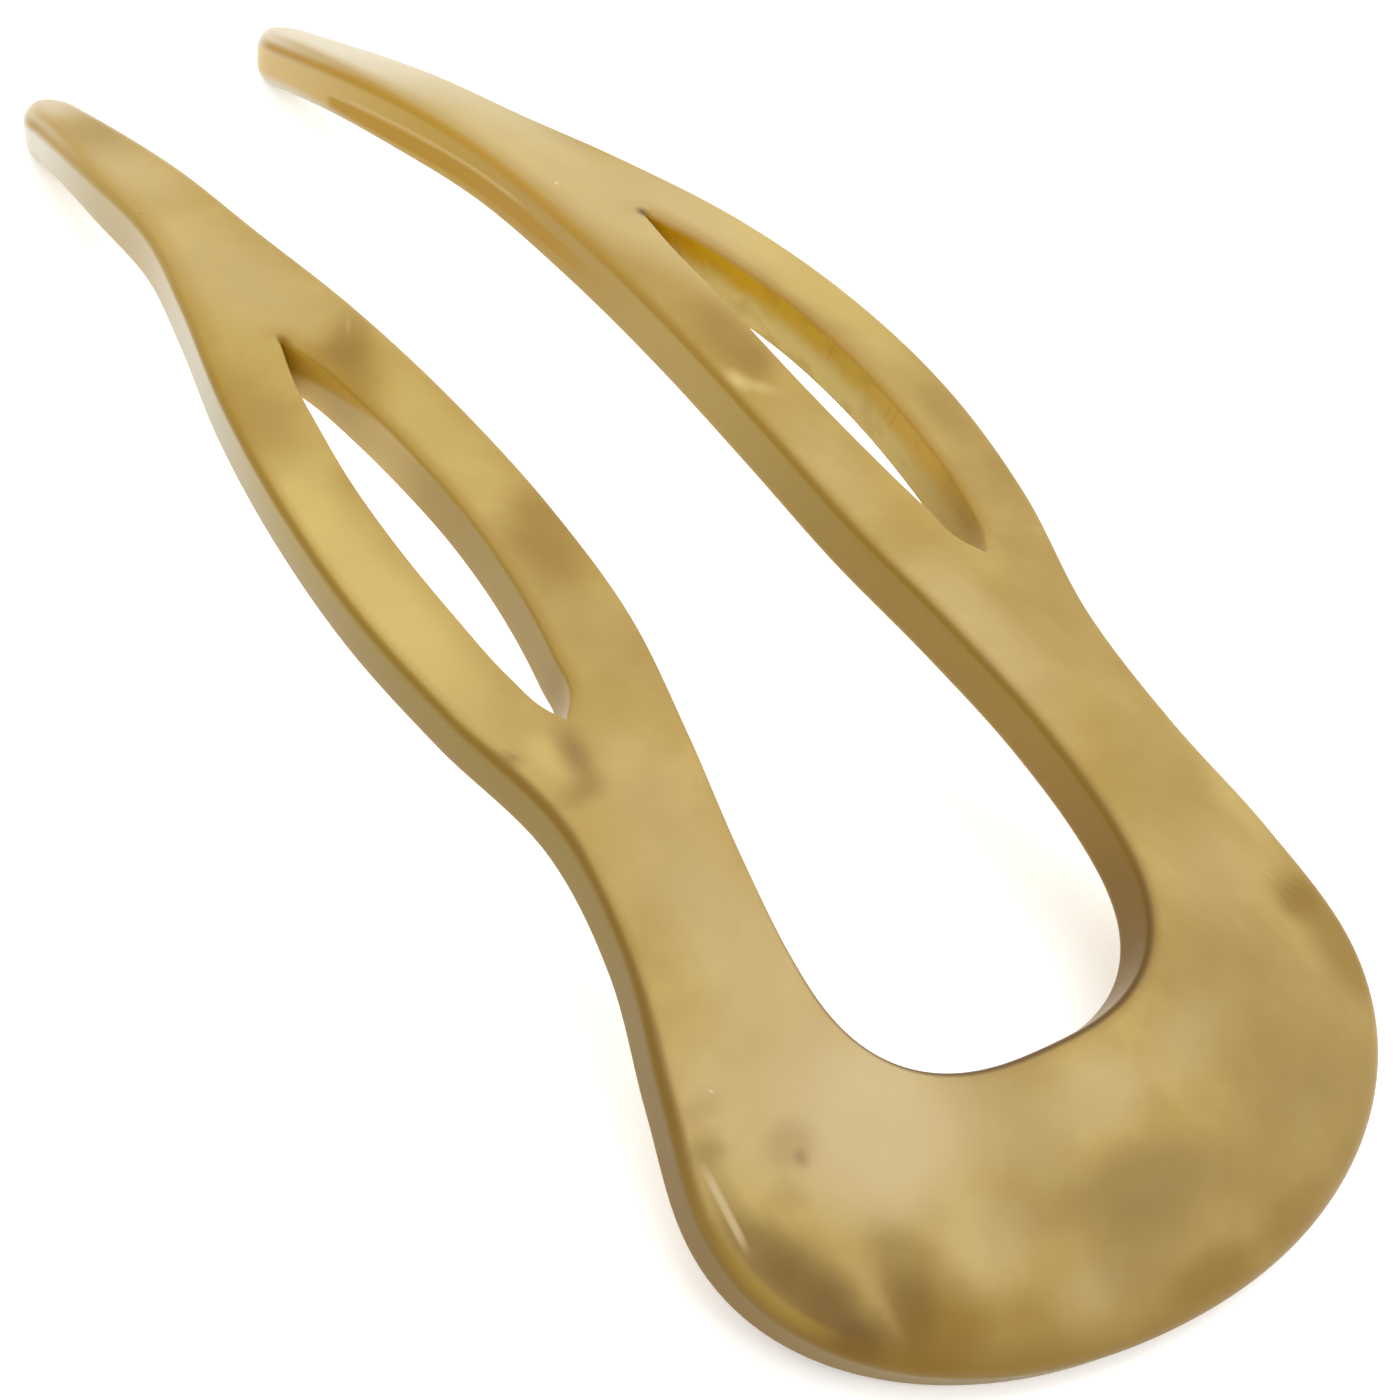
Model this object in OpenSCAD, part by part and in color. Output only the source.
// Two-pronged hair fork, cut from one plate, bowed along its length and gently
// crowned across it. Lengths in millimetres.
// X runs across, Y from the head (-Y) to the tips (+Y), Z up. It rests on the
// end of its head and on its two tips, with the front face up.

/* [Overall] */
// Length along the front face, from the end of the head to the tips
fork_len = 108; // [98:1:120]
// Width across the widest part of the head
head_w = 50.6; // [45:0.2:56]
// Thickness of the plate
plate_t = 3.4; // [2.6:0.1:4.4]

/* [Head and gap] */
// End of the head to its widest part
head_rise = 16; // [13:0.5:19]
// End of the head to the closed end of the gap, on the centre line
head_depth = 17.4; // [14:0.2:21]
// Closed end of the gap to its widest part
gap_rise = 10; // [8:0.2:13]
// Width of the gap at its widest part
gap_w = 24.4; // [21:0.2:27]
// Width of the gap beside the eyes
slot_w = 16.1; // [13:0.1:19]

/* [Prongs] */
// Across both prongs at the waists, between the head and the eyes
waist_span = 41; // [38:0.2:44]
// Across both prongs at the bellies, beside the eyes
belly_span = 46; // [43:0.2:50]
// Width of each prong at its neck, between the eye and the tip
neck_w = 5; // [4.2:0.1:6]
// Width of each prong where its blunt tip starts
tip_w = 3.7; // [3.2:0.1:4.8]
// Length of the rounded end of each tip
tip_cap = 2.8; // [1.8:0.1:4]

/* [Eyes] */
// End of the head to the near point of each eye
eye_from = 46; // [42:0.2:49]
// Length of each eye
eye_len = 31.2; // [27:0.2:36]
// Width of each eye
eye_w = 4.8; // [3.6:0.1:5.8]

/* [Edges] */
// Rounding of the front and back edges
edge_r = 0.55; // [0.3:0.05:0.9]
// Rounding of the edges of the eyes
eye_edge_r = 0.3; // [0.2:0.05:0.6]
// Depth of the softer rounding round the end of the head
head_round = 0.8; // [0.5:0.1:1.2]
// Reach of that rounding, in from the outline
head_soft = 1.4; // [1:0.1:3]
// Rounding at the ends of the tips
tip_soft = 1.2; // [0.8:0.1:1.6]

/* [Bend] */
// Turn of the front face from the end of the head to the tips, in degrees
bow = 54; // [35:1:65]
// Radius of the crown across the width
crown_r = 145; // [110:5:400]

/* [Hidden] */
// Share of the bow that gathers towards the tips
bow_gather = 0.25;
// Exponents of the head's end and of the gap's closed end
head_pow = 2.1;
gap_pow = 2.6;
// Steps: head, arm, eye, neck and tip cap, then cells across a prong's half
n_head = 15;
n_arm = 8;
n_eye = 22;
n_neck = 9;
n_cap = 5;
n_half = 3;
// Steps of each edge rounding
n_round = 4;
// Steps of the bowed centre line
n_bow = 216;

s_gap = head_depth + gap_rise;
s_cap = fork_len - tip_cap;
free_len = s_cap - s_gap;

// Inner edge of a prong, from the gap's widest part to the tip cap.
// Columns: share of the free length, size followed, share of that size.
INNER = [
    [0.00, gap_w / 2, 1.000],
    [0.09, gap_w / 2, 0.945],
    [0.19, gap_w / 2, 0.820],
    [0.29, slot_w / 2, 1.055],
    [0.40, slot_w / 2, 1.000],
    [0.51, slot_w / 2, 1.005],
    [0.64, slot_w / 2, 1.035],
    [0.76, slot_w / 2, 1.070],
    [0.87, slot_w / 2, 1.005],
    [1.00, slot_w / 2, 0.920]
];

// Outer edge from the widest part of the head to beyond the belly.
// Columns: share of the length from head_rise to the tip cap, size, share.
OUTER = [
    [0.00, head_w / 2, 1.000],
    [0.09, head_w / 2, 0.935],
    [0.18, waist_span / 2, 1.040],
    [0.27, waist_span / 2, 1.000],
    [0.37, belly_span / 2, 0.970],
    [0.46, belly_span / 2, 1.000],
    [0.56, belly_span / 2, 0.965],
    [0.66, belly_span / 2, 0.870],
    [0.75, belly_span / 2, 0.735]
];

// Width of a prong from its shoulder to its tip cap.
// Columns: share of the same length, size, share.
TAPER = [
    [0.82, neck_w, 1.210],
    [0.91, neck_w, 1.000],
    [1.00, tip_w, 1.000]
];

// Sides of an eye, out from the line between its two points.
// Columns: share of eye_len, towards the gap and outward as shares of eye_w.
EYE = [
    [0.00, 0.000, 0.000],
    [0.04, 0.210, 0.170],
    [0.12, 0.300, 0.330],
    [0.28, 0.410, 0.490],
    [0.48, 0.425, 0.575],
    [0.64, 0.350, 0.535],
    [0.77, 0.265, 0.410],
    [0.89, 0.165, 0.250],
    [1.00, 0.000, 0.000]
];
// Place of the eye's near and far points, as shares of the prong's width
EYE_NEAR = 0.56;
EYE_FAR = 0.52;

// Smooth curve through [place, value] rows. The slope at the first row is flat.
function gap_at(r, i) = r[i + 1][0] - r[i][0];
function rate(r, i) = (r[i + 1][1] - r[i][1]) / gap_at(r, i);
function slope(r, i, flat) =
    i == 0 ? (flat ? 0 : rate(r, 0)) :
    i == len(r) - 1 ? rate(r, i - 1) :
    (gap_at(r, i) * rate(r, i - 1) + gap_at(r, i - 1) * rate(r, i)) / (gap_at(r, i) + gap_at(r, i - 1));
function row_of(r, p, i = 0) = (i >= len(r) - 2 || p < r[i + 1][0]) ? i : row_of(r, p, i + 1);
function hermite(a, b, ma, mb, t) =
    a * (1 + 2 * t) * (1 - t) * (1 - t) + ma * t * (1 - t) * (1 - t)
    + b * t * t * (3 - 2 * t) + mb * t * t * (t - 1);
function curve(r, p, flat = true) =
    let (i = row_of(r, p), h = gap_at(r, i))
    hermite(r[i][1], r[i + 1][1], slope(r, i, flat) * h, slope(r, i + 1, flat) * h, (p - r[i][0]) / h);

inner_rows = [for (q = INNER) [s_gap + q[0] * free_len, q[1] * q[2]]];
function inner_x(s) = curve(inner_rows, s);
outer_len = s_cap - head_rise;
outer_rows = concat(
    [for (q = OUTER) [head_rise + q[0] * outer_len, q[1] * q[2]]],
    [for (q = TAPER) let (s = head_rise + q[0] * outer_len) [s, inner_x(s) + q[1] * q[2]]]);
function outer_x(s) = curve(outer_rows, s);

// Inner and outer points of each station, from the centre line to the tip
function round_head(f) =
    [head_w / 2 * pow(sin(f), 2 / head_pow), head_rise * (1 - pow(cos(f), 2 / head_pow))];
function round_gap(f) =
    [gap_w / 2 * pow(sin(f), 2 / gap_pow), s_gap - gap_rise * pow(cos(f), 2 / gap_pow)];
function across(si, so) = [[inner_x(si), si], [outer_x(so), so]];
function cap(q) =
    let (s = s_cap + q * tip_cap, m = (inner_x(s_cap) + outer_x(s_cap)) / 2,
         drift = (inner_x(s_cap) - inner_x(s_cap - tip_cap)) * q,
         h = (outer_x(s_cap) - inner_x(s_cap)) / 2 * sqrt(max(0, 1 - q * q)))
    [[m + drift - h, s], [m + drift + h, s]];
function eye_step(k) = let (w = k / n_eye) 0.5 * w + 0.25 * (1 - cos(180 * w));
s_far = eye_from + eye_len;
STN = concat(
    [for (k = [0:n_head]) [round_gap(90 * k / n_head), round_head(90 * k / n_head)]],
    [for (k = [1:n_arm - 1]) let (t = k / n_arm)
        across(s_gap + (eye_from - s_gap) * t, head_rise + (eye_from - head_rise) * t)],
    [for (k = [0:n_eye]) let (s = eye_from + eye_len * eye_step(k)) across(s, s)],
    [for (k = [1:n_neck]) let (s = s_far + (s_cap - s_far) * k / n_neck) across(s, s)],
    [for (k = [1:n_cap]) cap(sin(90 * k / n_cap))]);
last = len(STN) - 1;
j_near = n_head + n_arm;
j_far = j_near + n_eye;

// Outline as a loop: right outer edge from the tip to the centre line, left
// outer edge, left inner edge back to the centre line, right inner edge
function flip(p) = [-p[0], p[1]];
n_loop = 4 * last;
LOOP = concat(
    [for (j = [last:-1:0]) STN[j][1]],
    [for (j = [1:last]) flip(STN[j][1])],
    [for (j = [last - 1:-1:0]) flip(STN[j][0])],
    [for (j = [1:last - 1]) STN[j][0]]);

// Right eye as a loop: from the near point up its gap side, back down outside
near_pt = let (a = inner_x(eye_from), b = outer_x(eye_from)) [a + (b - a) * EYE_NEAR, eye_from];
far_pt = let (a = inner_x(s_far), b = outer_x(s_far)) [a + (b - a) * EYE_FAR, s_far];
eye_in = [for (q = EYE) [q[0], q[1] * eye_w]];
eye_out = [for (q = EYE) [q[0], q[2] * eye_w]];
function on_axis(w) = near_pt + (far_pt - near_pt) * w;
n_ring = 2 * n_eye;
RING = concat(
    [for (k = [0:n_eye]) let (w = eye_step(k)) on_axis(w) - [curve(eye_in, w, false), 0]],
    [for (k = [n_eye - 1:-1:1]) let (w = eye_step(k)) on_axis(w) + [curve(eye_out, w, false), 0]]);

// Direction into the plate at each point of a loop, longer at a sharp corner
function unit(v) = v / max(norm(v), 1e-9);
function right_of(v) = [v[1], -v[0]];
function inward(loop, i, sign) =
    let (n = len(loop), a = loop[(i + n - 1) % n], b = loop[i], c = loop[(i + 1) % n],
         u = unit(b - a), m = unit(right_of(u + unit(c - b))) * sign)
    m / max(0.72, abs(m * right_of(u)));
LOOP_IN = [for (i = [0:n_loop - 1]) inward(LOOP, i, 1)];
RING_IN = [for (i = [0:n_ring - 1]) inward(RING, i, -1)];

// Rounding at each point of the outline: its reach in from the edge and its depth.
// It grows round the end of the head and at the tips, as far as the tips are wide.
function ease(t) = let (c = min(1, max(0, t))) c * c * (3 - 2 * c);
tip_reach = min(tip_soft, 0.9 * pow(tip_w / 2, 2) / tip_cap);
tip_depth = min(tip_soft, 0.42 * plate_t);
s_soft = s_cap - 5 * tip_cap;
function rounding(i) =
    let (head = i <= 2 * last ? 1 - ease(abs(last - i) / j_near) : 0,
         tip = ease((LOOP[i][1] - s_soft) / (s_cap - s_soft)))
    [edge_r + (head_soft - edge_r) * head + (tip_reach - edge_r) * tip,
     edge_r + (head_round - edge_r) * head + (tip_depth - edge_r) * tip];
SOFT = [for (i = [0:n_loop - 1]) rounding(i)];

// Rows of an edge, front to back: shares of the reach and of the depth, start depth
function turn_in(k) = 1 - sin(90 * k / n_round);
function turn_down(k) = 1 - cos(90 * k / n_round);
ROWS = concat(
    [for (k = [0:n_round]) [turn_in(k), turn_down(k), 0]],
    [for (k = [n_round:-1:0]) [turn_in(k), -turn_down(k), plate_t]]);
n_rows = len(ROWS);

// Bowed centre line of the front face, at equal steps: y, z and slope
function tilt(w) = -bow * (w * (1 - bow_gather) + bow_gather * w * w);
ds = fork_len / n_bow;
BOW = [for (i = 0, y = 0, z = 0; i <= n_bow;
            y = y + ds * cos(tilt((i + 0.5) / n_bow)),
            z = z + ds * sin(tilt((i + 0.5) / n_bow)), i = i + 1) [y, z, tilt(i / n_bow)]];
function bow_at(s) =
    let (q = min(n_bow - 1e-6, max(0, s / ds)), i = floor(q))
    BOW[i] + (BOW[i + 1] - BOW[i]) * (q - i);
// A point of the flat plate, put on the bowed and crowned one
function place(p, depth) =
    let (b = bow_at(p[1]), n = [0, -sin(b[2]), cos(b[2])], m = unit(n + [p[0] / crown_r, 0, 0]))
    [p[0], b[0], b[1]] - n * (p[0] * p[0] / (2 * crown_r)) - m * depth;

// Points of the faces between the edges, at station J (left ones are below 0)
// and column c (from the inner edge to the outer one)
n_col = 2 * n_half;
function outer_id(J) = last - J;
function inner_id(J) = (3 * last + J) % n_loop;
function in_eye(j) = j >= j_near && j <= j_far;
function loop_pt(i, share) = LOOP[i] + LOOP_IN[i] * SOFT[i][0] * share;
function ring_pt(i, share) = RING[i % n_ring] + RING_IN[i % n_ring] * eye_edge_r * share;
function between(a, b, v) = a + (b - a) * v;
function face_pt(j, c) =
    let (a = loop_pt(inner_id(j), 1), b = loop_pt(outer_id(j), 1), k = j - j_near)
    !in_eye(j) ? between(a, b, c / n_col) :
    c <= n_half ? between(a, ring_pt(k, 1), c / n_half) :
    between(ring_pt(n_ring - k, 1), b, (c - n_half) / n_half);
FACE = [for (J = [1 - last:last - 1], c = [1:n_col - 1])
    let (p = face_pt(abs(J), c)) J < 0 ? flip(p) : p];

at_ring = n_rows * n_loop;
at_ring_left = at_ring + n_rows * n_ring;
at_front = at_ring_left + n_rows * n_ring;
at_back = at_front + len(FACE);
function row_depth(r, round) = r[2] + r[1] * round;
RAW = concat(
    [for (r = ROWS, i = [0:n_loop - 1]) place(loop_pt(i, r[0]), row_depth(r, SOFT[i][1]))],
    [for (r = ROWS, i = [0:n_ring - 1]) place(ring_pt(i, r[0]), row_depth(r, eye_edge_r))],
    [for (r = ROWS, i = [0:n_ring - 1]) place(flip(ring_pt(i, r[0])), row_depth(r, eye_edge_r))],
    [for (p = FACE) place(p, 0)],
    [for (p = FACE) place(p, plate_t)]);

// Levelled so that the end of the head and the tips touch one plane. Each touches
// it with its rounding, at a lean of about half the bow.
foot_in = 1 - sin(bow / 2);
foot_up = 1 - cos(bow / 2);
head_foot = place([0, head_soft * foot_in], plate_t - head_round * foot_up);
tip_foot = place([STN[last][0][0], fork_len - tip_reach * foot_in], plate_t - tip_depth * foot_up);
pitch = atan2(tip_foot[2] - head_foot[2], tip_foot[1] - head_foot[1]);
LEVEL = [for (p = RAW)
    [p[0], p[1] * cos(pitch) + p[2] * sin(pitch), p[2] * cos(pitch) - p[1] * sin(pitch)]];
y_mid = (min([for (p = LEVEL) p[1]]) + max([for (p = LEVEL) p[1]])) / 2;
z_low = min([for (p = LEVEL) p[2]]);
POINTS = [for (p = LEVEL) p - [0, y_mid, z_low]];

// Point number of a face's corner. The middle column splits along an eye.
function corner(J, c, out, back) =
    let (j = abs(J), row = back ? n_rows - 1 : 0, k = j - j_near)
    c == 0 || j == last ? row * n_loop + inner_id(J) :
    c == n_col ? row * n_loop + outer_id(J) :
    c == n_half && in_eye(j)
        ? (J < 0 ? at_ring_left : at_ring) + row * n_ring + (out ? (n_ring - k) % n_ring : k)
        : (back ? at_back : at_front) + (J + last - 1) * (n_col - 1) + c - 1;
function turned(f, over) = over ? [f[0], f[2], f[1]] : f;
// A cell's two triangles, or one where the cell ends in a tip
function cell(J, c, back) =
    let (out = c >= n_half,
         p = corner(J, c, out, back), q = corner(J + 1, c, out, back),
         r = corner(J + 1, c + 1, out, back), s = corner(J, c + 1, out, back))
    J == last - 1 ? [[p, q, s]] :
    J == -last ? [[p, q, r]] :
    J < 0 ? [[q, r, s], [q, s, p]] : [[p, q, r], [p, r, s]];
// A band between two rows of a loop that starts at point number `at`
function band(at, n, k, i) =
    let (p = at + k * n + i, q = at + k * n + (i + 1) % n) [[p, p + n, q + n], [p, q + n, q]];
FACES = concat(
    [for (J = [-last:last - 1], c = [0:n_col - 1], f = cell(J, c, false)) f],
    [for (J = [-last:last - 1], c = [0:n_col - 1], f = cell(J, c, true)) turned(f, true)],
    [for (k = [0:n_rows - 2], i = [0:n_loop - 1], f = band(0, n_loop, k, i)) f],
    [for (k = [0:n_rows - 2], i = [0:n_ring - 1], f = band(at_ring, n_ring, k, i)) turned(f, true)],
    [for (k = [0:n_rows - 2], i = [0:n_ring - 1], f = band(at_ring_left, n_ring, k, i)) f]);

module hair_fork() {
    color([0.80, 0.69, 0.43])
        polyhedron(points = POINTS, faces = FACES, convexity = 8);
}

hair_fork();
